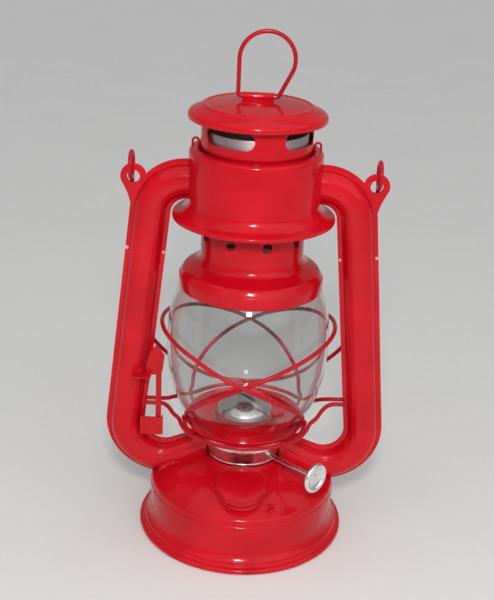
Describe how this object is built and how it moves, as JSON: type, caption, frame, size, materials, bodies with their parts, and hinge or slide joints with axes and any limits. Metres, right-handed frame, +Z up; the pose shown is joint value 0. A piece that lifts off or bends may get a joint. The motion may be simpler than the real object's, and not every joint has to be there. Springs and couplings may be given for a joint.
{
  "type": "oil lamp",
  "caption": "Small tubular hurricane lantern: round fuel tank, flat-wick burner, glass globe in a wire guard, air tubes, hood, lifting chimney and swinging bail.",
  "frame": {"origin": "centre of the foot's lowest plane", "axes": "+Z up through the globe and chimney, -Y towards the filler cap at the front, +X towards the air tube beside the wick knob"},
  "size_m": [0.1476, 0.1106, 0.2673],
  "materials": {
    "red_enamel": "gloss",
    "red_wire": "gloss",
    "tinplate": "satin",
    "clear_glass": "clear",
    "cotton": "woven",
    "cork": "matt"
  },
  "bodies": {
    "frame": {"tank_shell": "red_enamel", "tank_bottom": "red_enamel", "tank_top": "red_enamel", "filler_neck": "red_enamel", "burner_collar": "tinplate", "air_chamber": "tinplate", "air_plate": "tinplate", "burner_body": "tinplate", "wick_tube": "tinplate", "burner_cone": "tinplate", "left_tube_front": "red_enamel", "left_tube_back": "red_enamel", "right_tube_front": "red_enamel", "right_tube_back": "red_enamel", "hood": "red_enamel", "hood_top": "red_enamel", "spring_clip": "red_wire", "lever_bracket": "red_enamel"},
    "globe_cradle": {"globe_plate": "red_enamel", "guard_front": "red_wire", "guard_back": "red_wire", "guard_cross_left": "red_wire", "guard_cross_right": "red_wire", "globe": "clear_glass", "lift_lever": "red_enamel"},
    "chimney": {"bell": "red_enamel", "flue_tube": "tinplate", "vent_band": "red_enamel", "cap_lid": "red_enamel", "ring_strap": "red_enamel"},
    "lift_ring": {"lift_ring": "red_wire"},
    "bail": {"bail": "red_wire"},
    "wick_control": {"wick_wheels": "tinplate", "wick_shaft": "tinplate", "wick_knob": "tinplate"},
    "wick": {"wick": "cotton"},
    "cap_carrier": {"filler_gasket": "cork"},
    "filler_cap": {"filler_cap": "red_enamel"}
  },
  "joints": [
    {"name": "cradle_lift", "type": "slide", "parent": "frame", "child": "globe_cradle", "axis": [0, 0, 1], "range_m": [0, 0.008]},
    {"name": "chimney_lift", "type": "slide", "parent": "globe_cradle", "child": "chimney", "axis": [0, 0, 1], "range_m": [0, 0.012]},
    {"name": "ring_fold", "type": "hinge", "parent": "chimney", "child": "lift_ring", "pos_m": [0, 0, 0.2354], "axis": [1, 0, 0], "range_deg": [-92, 92]},
    {"name": "bail_swing", "type": "hinge", "parent": "frame", "child": "bail", "pos_m": [0, 0, 0.199], "axis": [1, 0, 0], "range_deg": [0, 322]},
    {"name": "wick_turn", "type": "hinge", "parent": "frame", "child": "wick_control", "pos_m": [-0.00217, -0.00236, 0.0496], "axis": [0.7361, -0.6769, 0], "range_deg": [-300, 90]},
    {"name": "wick_raise", "type": "slide", "parent": "frame", "child": "wick", "axis": [0, 0, 1], "range_m": [-0.0135, 0.0042]},
    {"name": "cap_rise", "type": "slide", "parent": "frame", "child": "cap_carrier", "axis": [0, -0.2588, 0.9659], "range_m": [0, 0.0032]},
    {"name": "cap_turn", "type": "hinge", "parent": "cap_carrier", "child": "filler_cap", "pos_m": [0, -0.0346, 0.0393], "axis": [0, -0.2588, 0.9659], "range_deg": [0, 540]}
  ],
  "couplings": [
    {"joint": "wick_raise", "follows": "wick_turn", "m_per_rad": 0.0025},
    {"joint": "cap_rise", "follows": "cap_turn", "m_per_rad": 0.0003183}
  ]
}
